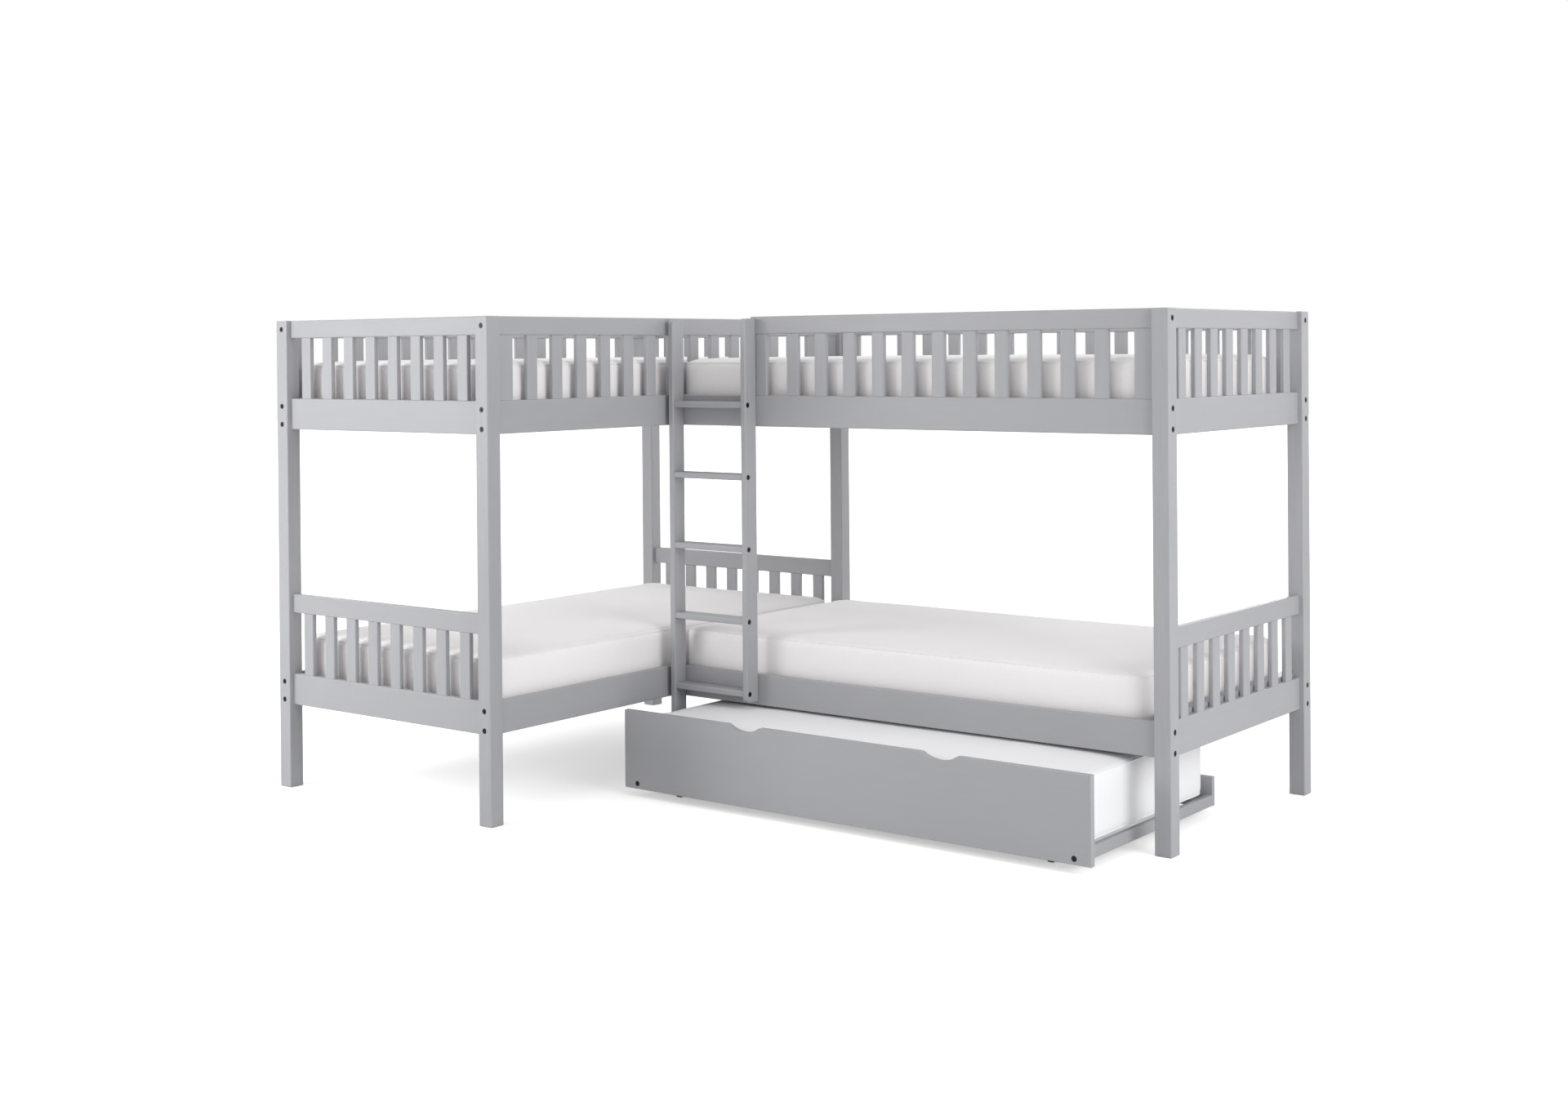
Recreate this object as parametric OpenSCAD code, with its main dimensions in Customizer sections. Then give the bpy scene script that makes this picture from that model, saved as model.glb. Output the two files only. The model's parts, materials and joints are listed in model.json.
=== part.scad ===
// L-shaped twin-over-twin bunk bed with a corner ladder and a rolling trundle.
//
// Two bunks stand at a right angle.  The left bunk runs along Y.  The right bunk
// runs along X and joins the left bunk's inner long side at the back corner, so the
// bed stands on six posts and the two bunks share the inner guard.  Every bunk
// deck lies on cleats that are screwed to the long side rails.  The trundle rolls
// along Y under the right bunk, drawn partly out.
//
// Modules are written in the bed's own corner frame: X = 0 and Y = 0 are the outer
// faces of the front left post and Z = 0 is the floor.  in_frame() then puts the
// origin at the middle of the floor plan.

/* [Mattresses] */
// Width of a bunk mattress
mattress_w = 985; // [900:1:1100]
// Length of a left bunk mattress
mattress_l = 1905; // [1800:1:2050]
// Length of a right bunk mattress
right_mattress_l = 1875; // [1800:1:2050]
// Height of a bunk mattress to the top of its crown
mattress_t = 200; // [160:1:230]
// Air between a mattress and each long side rail
side_gap = 5.5; // [4:0.5:20]
// Air between a left mattress and each end of its bunk
end_gap = 14; // [14:1:40]
// Air between a right mattress and the inner side rail of the left bunk
right_head_gap = 4; // [4:1:20]
// Room between a right mattress and the rail at the right end
right_foot_gap = 50; // [40:1:80]
// Rise of a mattress top from its edges to its middle
crown = 5; // [2:1:20]
// Radius of a mattress corner seen from above
corner_r = 60; // [50:1:120]
// Radius of the soft edges round the top and bottom of a mattress
soft_r = 16; // [8:1:40]
// How far the middle of a mattress side is drawn in
draw_in = 4; // [0:1:10]
// Lift of a mattress off the slats that carry it
rest_lift = 0.3; // [0.1:0.1:1]

/* [Posts and rails] */
// Height of the posts
height = 1664; // [1560:1:1900]
// Side of the square posts
post_w = 57; // [50:1:80]
// Radius of the posts' upright edges
post_r = 4; // [1:0.5:8]
// Bevel round the top and foot of a post
post_bevel = 2.5; // [1:0.5:5]
// Thickness of every rail
rail_t = 22; // [18:1:28]
// Radius of the rails' long edges
rail_r = 4; // [1:0.5:6]
// Height of the rails along the top of the bed
top_rail_h = 62; // [50:1:90]
// Height of the long side rails and of the end rails level with them
side_rail_h = 110; // [95:1:140]
// Height of the top rail of a lower end panel
lower_top_rail_h = 66; // [50:1:90]
// Floor to the underside of the lower rails
lower_rail_z = 295; // [280:1:400]
// Floor to the underside of the upper rails
upper_rail_z = 1277; // [1150:1:1330]
// Floor to the top of a lower end panel
lower_panel_top = 689; // [600:1:900]
// Length of the tenons on the end rails
tenon_l = 14; // [8:1:18]
// Thickness of the tenons
tenon_t = 10; // [6:1:14]
// Shoulder above and below a tenon
tenon_shoulder = 8; // [4:1:15]

/* [Slats and guards] */
// Width of the upright slats
slat_w = 50; // [40:1:62]
// Thickness of the upright slats
slat_t = 18; // [12:0.5:20]
// Radius of the upright slats' edges
slat_r = 5; // [1:0.5:5.5]
// Thickness of the tongues at the ends of slats and stiles
tongue_t = 10; // [6:0.5:12]
// Shoulder beside a slat's tongue
tongue_shoulder = 5; // [3:0.5:10]
// Slats in each end panel
end_slats = 8; // [5:1:8]
// Distance between neighbouring slats of an end panel, middle to middle
end_pitch = 114; // [80:1:116]
// Slats in each full-length guard
guard_slats = 14; // [8:1:14]
// Slats in the short front guard beside the ladder
front_slats = 11; // [6:1:11]
// Distance between neighbouring guard slats, middle to middle
guard_pitch = 120; // [95:1:122]
// Width of the stiles at the ends of a full-length guard
stile_w = 80; // [40:1:90]
// Width of the stiles at the ends of the front guard
front_stile_w = 68; // [40:1:75]
// Depth of the slots that hold the slat ends
slot_depth = 10; // [5:1:15]
// Clearance round a slat end, a tenon or a housed rung
joint_clear = 0.15; // [0.05:0.05:0.3]

/* [Decks] */
// Side of the square cleats on the side rails
cleat = 25; // [18:1:32]
// Thickness of the deck slats
deck_t = 18; // [12:1:22]
// Width of the deck slats
deck_slat_w = 70; // [50:1:90]
// Deck slats in each bunk
deck_slats = 13; // [8:1:16]
// Play between the end of a deck slat and the rail
deck_play = 0.8; // [0.2:0.1:3]
// Air between the lower right mattress and the stop bar at its foot
stop_gap = 6; // [2:1:20]
// Rise of the stop bar above the bottom rail beside it
stop_rise = 15; // [5:1:40]

/* [Ladder] */
// Gap between the ladder and the plane of the inner posts' outer faces
ladder_gap = 1; // [0:0.5:10]
// Width of the ladder over its rails
ladder_w = 354; // [300:1:500]
// Thickness of the ladder rails
ladder_t = 22; // [18:1:30]
// Depth of the ladder rails
ladder_d = 62; // [55:1:90]
// Floor to the top of the ladder rails
ladder_top = 1657; // [1500:1:1664]
// Floor to the cut end of the right ladder rail
ladder_cut_z = 311; // [305:1:330]
// Radius at the ends of the ladder rails
ladder_end_r = 16; // [4:1:28]
// Radius of the ladder rails' long edges
ladder_edge_r = 4; // [1:0.5:6]
// Rungs in the ladder
rungs = 5; // [3:1:5]
// Floor to the middle of the lowest rung
first_rung_z = 339.5; // [335:0.5:380]
// Distance between rungs
rung_pitch = 253.5; // [200:0.5:255]
// Height of a rung
rung_h = 22; // [18:1:30]
// Depth of a rung
rung_d = 56; // [40:1:58]
// Setback of the rungs behind the front edges of the rails
rung_setback = 3.5; // [1:0.5:6]
// Depth of the housings that hold the rung ends
rung_housing = 5; // [3:0.5:8]
// Front edge of a ladder rail to the middle of its bolts
ladder_bolt_y = 14; // [12:0.5:25]

/* [Trundle] */
// How far the trundle is drawn out of its closed place
trundle_out = 322; // [100:1:600]
// Gap between the closed trundle and the side rail that stops it
trundle_stop_gap = 0.5; // [0.3:0.1:3]
// Gap between the front panel and the ladder's standing rail
trundle_left_gap = 10; // [5:1:30]
// Gap between the front panel and the right front post
trundle_right_gap = 39; // [5:1:60]
// Floor to the underside of the trundle frame
trundle_z = 28; // [26:1:34]
// Height of the front panel
panel_h = 270; // [200:1:272]
// Thickness of the front panel
panel_t = 22; // [18:1:28]
// Bevel along the front panel's long edges
panel_bevel = 2; // [0.5:0.5:5]
// Radius of the trundle boards' long edges
board_r = 3; // [1:0.5:6]
// Depth of the trundle over its front panel and back board
trundle_d = 930; // [700:1:980]
// Height of the back board
back_h = 97; // [70:1:150]
// Thickness of the back board
back_t = 20; // [16:1:28]
// Height of the trundle end rails
trundle_rail_h = 37; // [34:1:45]
// Step from the panel's ends to the outer faces of the end rails
panel_overhang = 45; // [20:1:100]
// Height of the ledges that carry the trundle slats
ledge_h = 19; // [17:1:24]
// Depth of the ledges that carry the trundle slats
ledge_d = 25; // [15:1:35]
// Slats in the trundle
trundle_slats = 11; // [6:1:14]
// Length of a finger scoop along the panel's top edge
scoop_w = 134; // [100:1:200]
// Depth of a finger scoop
scoop_depth = 21; // [10:1:40]
// Distance of each finger scoop from the middle of the panel
scoop_from_mid = 385; // [200:1:600]
// Radius of a scoop's shoulders
scoop_shoulder_r = 14; // [4:1:25]
// Height of the trundle mattress to the top of its crown
trundle_mattress_t = 205; // [120:1:215]
// Air between the trundle mattress and the boards round it
trundle_mattress_gap = 4; // [2:1:20]
// Air between the trundle mattress and the back board
trundle_back_gap = 5; // [4:1:60]

/* [Casters] */
// Diameter of a caster wheel
wheel_d = 40; // [36:1:42]
// Width of a caster wheel
wheel_w = 18; // [12:1:24]
// Width of the raised hub on each side of a wheel
hub_w = 0.8; // [0.3:0.1:1.5]
// Diameter of the hub
hub_d = 15; // [11:1:20]
// Radius of the tread's shoulders
tread_r = 3; // [1:0.5:5]
// Diameter of a wheel axle
axle_d = 6; // [5:0.5:8]
// Running clearance of a wheel on its axle, all round
axle_clear = 0.06; // [0.03:0.01:0.1]
// Side play of a wheel between the fork's legs
wheel_play = 0.4; // [0.2:0.1:1]
// Thickness of the fork's sheet steel
fork_t = 2.5; // [1.5:0.5:4]
// Length of a fork's screw plate
fork_plate_l = 64; // [50:1:90]
// Width of a fork's legs
fork_leg_w = 22; // [16:1:28]
// Ledge to the nearest end of a fork's plate
fork_inset = 6; // [2:1:40]

/* [Fasteners] */
// Diameter of the connector bolts' heads
head_d = 18; // [12:0.5:19]
// Thickness of the bolt heads
head_h = 3; // [2:0.5:4]
// Depth of a bolt head's face below the wood
head_sink = 0.6; // [0.2:0.1:1.5]
// Width across flats of the socket in a bolt head
socket_af = 5; // [4:0.5:6]
// Depth of the socket
socket_h = 2; // [1:0.5:3]
// Diameter of the bolt shanks
bolt_d = 7; // [5:0.5:8]
// Clearance round heads, shanks and nuts
bolt_clear = 0.3; // [0.1:0.05:0.5]
// Length of a bolt beyond the post or panel that it passes through
bolt_bite = 52; // [40:1:70]
// Length of a bolt inside a rung, an end rail or a ladder rail
short_bite = 34; // [20:1:45]
// Distance between the two bolts of a side rail
bolt_spread = 64; // [40:1:80]
// Drop of the bolt pairs below the middle of their side rail
bolt_drop = 5; // [0:1:8]
// Diameter of the barrel nuts
nut_d = 12; // [10:0.5:14]
// Length of the barrel nuts
nut_l = 16; // [12:1:17]
// Rail end to the middle of its barrel nuts
nut_inset = 38; // [25:1:40]
// Length of the corner brackets' legs
bracket_l = 48; // [30:1:80]
// Height of the corner brackets
bracket_h = 40; // [25:1:44]
// Thickness of the corner brackets
bracket_t = 2.5; // [1.5:0.5:3]
// Edge of a rail to the edge of its corner bracket
bracket_margin = 3; // [1:1:8]

/* [Hidden] */

$fn = 48;
cut = 1;                 // how far a cutting shape runs past the face it cuts

// Floor plan
rail_in = (post_w - rail_t) / 2;                      // setback of a rail from the post's face
inside_w = mattress_w + 2 * side_gap;                 // between the side rails of a bunk
bunk_w = inside_w + rail_t + post_w;                  // over the posts
left_l = mattress_l + 2 * end_gap + rail_t + post_w;  // left bunk over its posts
total_l = bunk_w + right_head_gap + right_mattress_l + right_foot_gap + rail_t;
right_y = left_l - bunk_w;                            // front face of the right bunk's posts
left_c = post_w / 2;                                  // middle of the outer rails along Y
inner_c = bunk_w - post_w / 2;                        // middle of the inner rails along Y
front_c = right_y + post_w / 2;                       // middle of the right bunk's front rails
back_c = left_l - post_w / 2;                         // middle of the back rails along X
right_c = total_l - post_w / 2;                       // middle of the right end's rails
inner_face = bunk_w - rail_in;                        // inner rails' face towards the right bunk
front_in = right_y + rail_in + rail_t;                // inner face of the right bunk's front rails
back_in = left_l - rail_in - rail_t;                  // inner face of the back rails

// Heights
top_rail_z = height - top_rail_h;
upper_rail_top = upper_rail_z + side_rail_h;
lower_rail_top = lower_rail_z + side_rail_h;
lower_slat_top = lower_panel_top - lower_top_rail_h;
top_mid = height - top_rail_h / 2;
upper_mid = upper_rail_z + side_rail_h / 2;
lower_mid = lower_rail_z + side_rail_h / 2;
deck_z = cleat;                                       // rail's underside to the deck's underside
bolt_z = concat([top_mid], rail_bolt_z(upper_rail_z), rail_bolt_z(lower_rail_z));
END_RAILS = [[top_rail_z, top_rail_h], [upper_rail_z, side_rail_h],
    [lower_slat_top, lower_top_rail_h], [lower_rail_z, side_rail_h]];

// Ladder
ladder_x = bunk_w + ladder_gap;
ladder_back = right_y + rail_in;
ladder_front = ladder_back - ladder_d;
ladder_inner = ladder_x + ladder_w - ladder_t;        // inner face of the right ladder rail
guard_start = ladder_inner;                           // free end of the front guard

// Trundle, in its photographed place
panel_x = ladder_x + ladder_t + trundle_left_gap;
panel_l = total_l - post_w - trundle_right_gap - panel_x;
panel_y = ladder_back - trundle_stop_gap - panel_t - trundle_out;
trundle_in_y = panel_y + panel_t;
trundle_back_y = panel_y + trundle_d - back_t;
trundle_x0 = panel_x + panel_overhang;
trundle_x1 = panel_x + panel_l - panel_overhang;
trundle_deck_z = trundle_z + ledge_h;
trundle_slat_t = trundle_rail_h - ledge_h;            // slats end level with the end rails
wheel_r = wheel_d / 2;
fork_gap = wheel_w + 2 * hub_w + 2 * wheel_play;      // between the fork's legs
trundle_first = trundle_x0 + rail_t;
trundle_last = trundle_x1 - rail_t;
WHEEL_X = [spaced(trundle_slats, deck_slat_w, trundle_first, trundle_last)[0],
    spaced(trundle_slats, deck_slat_w, trundle_first, trundle_last)[trundle_slats - 1]];
front_wheel_y = trundle_in_y + ledge_d + fork_inset + fork_plate_l / 2;
back_wheel_y = trundle_back_y - ledge_d - fork_inset - fork_plate_l / 2;

wood = "#b9bcc0";
deck_wood = "#a3a6aa";
white_fabric = "#f2f1ef";
black_metal = "#2b2c2e";
zinc = "#9fa2a6";
rubber = "#3a3b3d";

// ---------- rules for placing ----------

// Heights of the two bolts at each end of a side rail whose underside is at z
function rail_bolt_z(z) = [for (s = [1, -1]) z + side_rail_h / 2 - bolt_drop + s * bolt_spread / 2];

// Middles of n pieces of width w with equal gaps between them and at both ends
function spaced(n, w, from, to) =
    let (gap = (to - from - n * w) / (n + 1)) [for (i = [0:n - 1]) from + gap + w / 2 + i * (w + gap)];

// Middles of n pieces at a fixed pitch, centred between two faces
function pitched(n, pitch, from, to) = [for (i = [0:n - 1]) (from + to) / 2 + (i - (n - 1) / 2) * pitch];

// Rotation that turns +Z to the named direction
function turn(way) = way == "+x" ? [0, 90, 0] : way == "-x" ? [0, -90, 0] :
    way == "+y" ? [-90, 0, 0] : [90, 0, 0];

module in_frame() {
    translate([-total_l / 2, -left_l / 2, 0]) children();
}

// ---------- shared shapes ----------

module rounded_rect(w, h, r) {
    translate([r, 0]) square([w - 2 * r, h]);
    translate([0, r]) square([w, h - 2 * r]);
    for (x = [r, w - r], y = [r, h - r]) translate([x, y]) circle(r = r);
}

// Bar along X with rounded long edges
module bar_x(l, d, h, r) {
    rotate([90, 0, 90]) linear_extrude(l) rounded_rect(d, h, r);
}

// Bar along Y with rounded long edges
module bar_y(l, d, h, r) {
    translate([0, l, 0]) rotate([90, 0, 0]) linear_extrude(l) rounded_rect(d, h, r);
}

// Bar along X with bevelled long edges
module bevelled_bar_x(l, d, h, b) {
    rotate([90, 0, 90]) linear_extrude(l)
        polygon([[b, 0], [d - b, 0], [d, b], [d, h - b], [d - b, h], [b, h], [0, h - b], [0, b]]);
}

// Board t thick whose face is a drawn outline
module face_xz(t) {
    translate([0, t, 0]) rotate([90, 0, 0]) linear_extrude(t) children();
}

// ---------- bolts and nuts ----------

// Connector bolt from the face at Z = 0 into the wood, head sunk
module bolt(through, bite) {
    difference() {
        union() {
            translate([0, 0, head_sink]) cylinder(d = head_d, h = head_h);
            translate([0, 0, head_sink + head_h]) cylinder(d = bolt_d, h = through + bite - head_sink - head_h);
        }
        translate([0, 0, head_sink - cut]) cylinder(d = socket_af / cos(30), h = socket_h + cut, $fn = 6);
    }
}

// Hole for the bolt and the recess for its head
module bolt_hole(through, bite) {
    translate([0, 0, -cut]) cylinder(d = head_d + 2 * bolt_clear, h = head_sink + head_h + cut);
    translate([0, 0, -cut]) cylinder(d = bolt_d + 2 * bolt_clear, h = through + bite + cut + bolt_clear);
}

// Where the connector bolts pass the posts: face point, direction
module at_post_bolts(x, y, way) {
    for (z = bolt_z) translate([x, y, z]) rotate(turn(way)) children();
}

module at_all_post_bolts() {
    at_post_bolts(left_c, 0, "+y") children();
    at_post_bolts(inner_c, 0, "+y") children();
    at_post_bolts(left_c, left_l, "-y") children();
    at_post_bolts(inner_c, left_l, "-y") children();
    at_post_bolts(total_l, front_c, "-x") children();
    at_post_bolts(total_l, back_c, "-x") children();
}

// Rung bolts, from the outer faces of both ladder rails
module at_rung_bolts() {
    for (i = [0:rungs - 1]) {
        z = first_rung_z + i * rung_pitch;
        translate([ladder_x, ladder_front + ladder_bolt_y, z]) rotate(turn("+x")) children();
        translate([ladder_x + ladder_w, ladder_front + ladder_bolt_y, z]) rotate(turn("-x")) children();
    }
}

// Bolts that hold the ladder, from the inside of the front side rails
module at_ladder_bolts() {
    for (x = [ladder_x + ladder_t / 2, ladder_inner + ladder_t / 2], z = [upper_mid, lower_mid])
        translate([x, front_in, z]) rotate(turn("-y")) children();
}

// Bolts of the trundle: from the front panel and from the back board
module at_panel_bolts() {
    for (x = [trundle_x0 + rail_t / 2, trundle_x1 - rail_t / 2])
        translate([x, panel_y, trundle_z + trundle_rail_h / 2]) rotate(turn("+y")) children();
}

module at_back_board_bolts() {
    for (x = [trundle_x0 + rail_t / 2, trundle_x1 - rail_t / 2])
        translate([x, panel_y + trundle_d, trundle_z + trundle_rail_h / 2]) rotate(turn("-y")) children();
}

// Barrel nut, its axis along Z and centred, with its cross hole
module barrel_nut() {
    difference() {
        cylinder(d = nut_d, h = nut_l, center = true);
        rotate([0, 90, 0]) cylinder(d = bolt_d + 2 * bolt_clear, h = nut_d + 2 * cut, center = true);
    }
}

// Hole for a barrel nut, open towards +Z at the rail's face
module nut_hole() {
    translate([0, 0, -nut_l / 2 - bolt_clear])
        cylinder(d = nut_d + 2 * bolt_clear, h = rail_t / 2 + nut_l / 2 + bolt_clear + cut);
}

// Nut places of a rail along Y; side +1 opens the holes towards +X
module at_nuts_y(c, zs, side) {
    for (y = [post_w + nut_inset, left_l - post_w - nut_inset], z = zs)
        translate([c, y, z]) rotate([0, 90 * side, 0]) rotate([0, 0, 90]) children();
}

// Nut places of a rail along X at its right end; side +1 opens the holes towards +Y
module at_nuts_x(c, zs, side) {
    for (z = zs) translate([total_l - post_w - nut_inset, c, z]) rotate([-90 * side, 0, 0]) children();
}

// ---------- posts ----------

module post_blank() {
    profile = [[post_bevel, 0], [post_w - post_bevel, 0], [post_w, post_bevel],
        [post_w, height - post_bevel], [post_w - post_bevel, height], [post_bevel, height],
        [0, height - post_bevel], [0, post_bevel]];
    intersection() {
        linear_extrude(height) rounded_rect(post_w, post_w, post_r);
        translate([0, post_w, 0]) rotate([90, 0, 0]) linear_extrude(post_w) polygon(profile);
        rotate([90, 0, 90]) linear_extrude(post_w) polygon(profile);
    }
}

// Mortises for the four end rails, cut from the plane X = 0 towards +X
module mortises() {
    for (r = END_RAILS)
        translate([-cut, -tenon_t / 2 - joint_clear, r[0] + tenon_shoulder - joint_clear])
            cube([tenon_l + joint_clear + cut, tenon_t + 2 * joint_clear,
                r[1] - 2 * tenon_shoulder + 2 * joint_clear]);
}

// Post at a corner; face gives the mortised face's middle and the way into the wood
module post(x, y, face, angle, bolt_face, way) {
    color(wood) in_frame() difference() {
        translate([x, y, 0]) post_blank();
        translate([x + face[0], y + face[1], 0]) rotate([0, 0, angle]) mortises();
        at_post_bolts(x + bolt_face[0], y + bolt_face[1], way) bolt_hole(post_w, bolt_bite);
    }
}

module post_front_left() {
    post(0, 0, [post_w, post_w / 2], 180, [post_w / 2, 0], "+y");
}

module post_front_inner() {
    post(bunk_w - post_w, 0, [0, post_w / 2], 0, [post_w / 2, 0], "+y");
}

module post_back_left() {
    post(0, left_l - post_w, [post_w, post_w / 2], 180, [post_w / 2, post_w], "-y");
}

module post_back_inner() {
    post(bunk_w - post_w, left_l - post_w, [0, post_w / 2], 0, [post_w / 2, post_w], "-y");
}

module post_right_front() {
    post(total_l - post_w, right_y, [post_w / 2, post_w], -90, [post_w, post_w / 2], "-x");
}

module post_right_back() {
    post(total_l - post_w, left_l - post_w, [post_w / 2, 0], 90, [post_w, post_w / 2], "-x");
}

// ---------- end panels ----------

tongue_w = slat_w - 2 * tongue_shoulder;

// Slot for a tongue, upright, centred on X = 0, Y = 0 and Z = 0
module slat_slot() {
    translate([-tongue_w / 2 - joint_clear, -tongue_t / 2 - joint_clear, -slot_depth - joint_clear])
        cube([tongue_w + 2 * joint_clear, tongue_t + 2 * joint_clear, 2 * (slot_depth + joint_clear)]);
}

// Tongue that runs through a slat or stile from slot to slot
module tongue(x, z0, z1) {
    translate([x - tongue_w / 2, -tongue_t / 2, z0 - slot_depth])
        cube([tongue_w, tongue_t, z1 - z0 + 2 * slot_depth]);
}

// End rail along X from post to post with tenons, its middle line on Y = 0.
// slot_z lists the heights, from the rail's underside, where slats enter.
module end_rail(h, slot_z) {
    span = bunk_w - 2 * post_w;
    difference() {
        union() {
            translate([0, -rail_t / 2, 0]) bar_x(span, rail_t, h, rail_r);
            translate([-tenon_l, -tenon_t / 2, tenon_shoulder])
                cube([span + 2 * tenon_l, tenon_t, h - 2 * tenon_shoulder]);
        }
        for (x = pitched(end_slats, end_pitch, 0, span), z = slot_z) translate([x, 0, z]) slat_slot();
    }
}

// Rail i of an end panel set: 0 top, 1 middle, 2 lower, 3 bottom
module end_set_rail(i) {
    slot_z = i == 0 || i == 2 ? [0] : [END_RAILS[i][1]];
    color(wood) translate([0, 0, END_RAILS[i][0]]) end_rail(END_RAILS[i][1], slot_z);
}

module end_set_slats() {
    color(wood) for (x = pitched(end_slats, end_pitch, 0, bunk_w - 2 * post_w)) {
        slat(x, upper_rail_top, top_rail_z);
        slat(x, lower_rail_top, lower_slat_top);
    }
}

// Upright slat between two rails, with a tongue at both ends
module slat(x, z0, z1) {
    translate([x - slat_w / 2, -slat_t / 2, z0])
        linear_extrude(z1 - z0) rounded_rect(slat_w, slat_t, slat_r);
    tongue(x, z0, z1);
}

module at_front_end() {
    in_frame() translate([post_w, post_w / 2, 0]) children();
}

module at_back_end() {
    in_frame() translate([post_w, left_l - post_w / 2, 0]) children();
}

module at_right_end() {
    in_frame() translate([right_c, right_y + post_w, 0]) rotate([0, 0, 90]) children();
}

module front_end_top_rail() { at_front_end() end_set_rail(0); }
module front_end_middle_rail() { at_front_end() end_set_rail(1); }
module front_end_lower_rail() { at_front_end() end_set_rail(2); }
module front_end_bottom_rail() { at_front_end() end_set_rail(3); }
module front_end_slats() { at_front_end() end_set_slats(); }

module back_end_top_rail() { at_back_end() end_set_rail(0); }
module back_end_middle_rail() { at_back_end() end_set_rail(1); }
module back_end_lower_rail() { at_back_end() end_set_rail(2); }
module back_end_bottom_rail() { at_back_end() end_set_rail(3); }
module back_end_slats() { at_back_end() end_set_slats(); }

module right_end_top_rail() { at_right_end() end_set_rail(0); }
module right_end_middle_rail() { at_right_end() end_set_rail(1); }
module right_end_lower_rail() { at_right_end() end_set_rail(2); }
module right_end_bottom_rail() { at_right_end() end_set_rail(3); }
module right_end_slats() { at_right_end() end_set_slats(); }

// ---------- guards ----------

// Guards are drawn along X from their start at X = 0, middle line on Y = 0.

// Stile w wide from x, with a tongue at both ends
module stile(x, w) {
    translate([x, -slat_t / 2, upper_rail_top])
        linear_extrude(top_rail_z - upper_rail_top) rounded_rect(w, slat_t, slat_r);
    tongue(x + w / 2, upper_rail_top, top_rail_z);
}

// Tongues of a guard l long with n slats and stiles w wide
module guard_slots(l, n, w, z) {
    for (x = concat([w / 2], pitched(n, guard_pitch, 0, l), [l - w / 2])) translate([x, 0, z]) slat_slot();
}

module guard_infill(l, n, w) {
    color(wood) {
        stile(0, w);
        stile(l - w, w);
        for (x = pitched(n, guard_pitch, 0, l)) slat(x, upper_rail_top, top_rail_z);
    }
}

long_y = left_l - 2 * post_w;                        // left bunk between its posts
long_x = total_l - post_w - bunk_w;                  // right bunk between its back posts
short_x = total_l - post_w - guard_start;            // front guard beside the ladder

module along_y(c) {
    translate([c, post_w, 0]) rotate([0, 0, 90]) children();
}

// Guard top rail of the left bunk; side +1 puts the nut holes on its +X face
module guard_rail_y(c, side) {
    color(wood) in_frame() difference() {
        translate([c - rail_t / 2, post_w, top_rail_z]) bar_y(long_y, rail_t, top_rail_h, rail_r);
        along_y(c) guard_slots(long_y, guard_slats, stile_w, top_rail_z);
        for (y = [0, left_l]) translate([c, y, top_mid]) rotate(turn(y == 0 ? "+y" : "-y"))
            bolt_hole(post_w, bolt_bite);
        at_nuts_y(c, [top_mid], side) nut_hole();
    }
}

// Guard top rail of the right bunk from x0 to the right end's post
module guard_rail_x(x0, n, w, c, side) {
    l = total_l - post_w - x0;
    color(wood) in_frame() difference() {
        translate([x0, c - rail_t / 2, top_rail_z]) bar_x(l, rail_t, top_rail_h, rail_r);
        translate([x0, c, 0]) guard_slots(l, n, w, top_rail_z);
        translate([total_l, c, top_mid]) rotate(turn("-x")) bolt_hole(post_w, bolt_bite);
        at_nuts_x(c, [top_mid], side) nut_hole();
    }
}

module outer_guard_rail() { guard_rail_y(left_c, 1); }
module inner_guard_rail() { guard_rail_y(inner_c, -1); }
module front_guard_rail() { guard_rail_x(guard_start, front_slats, front_stile_w, front_c, 1); }
module back_guard_rail() { guard_rail_x(bunk_w, guard_slats, stile_w, back_c, -1); }

module outer_guard_slats() { in_frame() along_y(left_c) guard_infill(long_y, guard_slats, stile_w); }
module inner_guard_slats() { in_frame() along_y(inner_c) guard_infill(long_y, guard_slats, stile_w); }
module front_guard_slats() {
    in_frame() translate([guard_start, front_c, 0]) guard_infill(short_x, front_slats, front_stile_w);
}
module back_guard_slats() {
    in_frame() translate([bunk_w, back_c, 0]) guard_infill(long_x, guard_slats, stile_w);
}

// ---------- side rails ----------

// Side rail of the left bunk.  slots: true where a guard stands on it
module side_rail_y(c, z0, slots, side) {
    zs = rail_bolt_z(z0);
    color(wood) in_frame() difference() {
        translate([c - rail_t / 2, post_w, z0]) bar_y(long_y, rail_t, side_rail_h, rail_r);
        if (slots) along_y(c) guard_slots(long_y, guard_slats, stile_w, z0 + side_rail_h);
        for (y = [0, left_l], z = zs) translate([c, y, z]) rotate(turn(y == 0 ? "+y" : "-y"))
            bolt_hole(post_w, bolt_bite);
        at_nuts_y(c, zs, side) nut_hole();
    }
}

// Side rail of the right bunk from x0.  The guard above it, if n > 0, begins at
// slot_x0 and has n slats and stiles w wide.
module side_rail_x(x0, z0, c, side, slot_x0, n, w, ladder) {
    zs = rail_bolt_z(z0);
    color(wood) in_frame() difference() {
        translate([x0, c - rail_t / 2, z0]) bar_x(total_l - post_w - x0, rail_t, side_rail_h, rail_r);
        if (n > 0) translate([slot_x0, c, 0])
            guard_slots(total_l - post_w - slot_x0, n, w, z0 + side_rail_h);
        for (z = zs) translate([total_l, c, z]) rotate(turn("-x")) bolt_hole(post_w, bolt_bite);
        at_nuts_x(c, zs, side) nut_hole();
        if (ladder) at_ladder_bolts() bolt_hole(rail_t, short_bite);
    }
}

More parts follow.
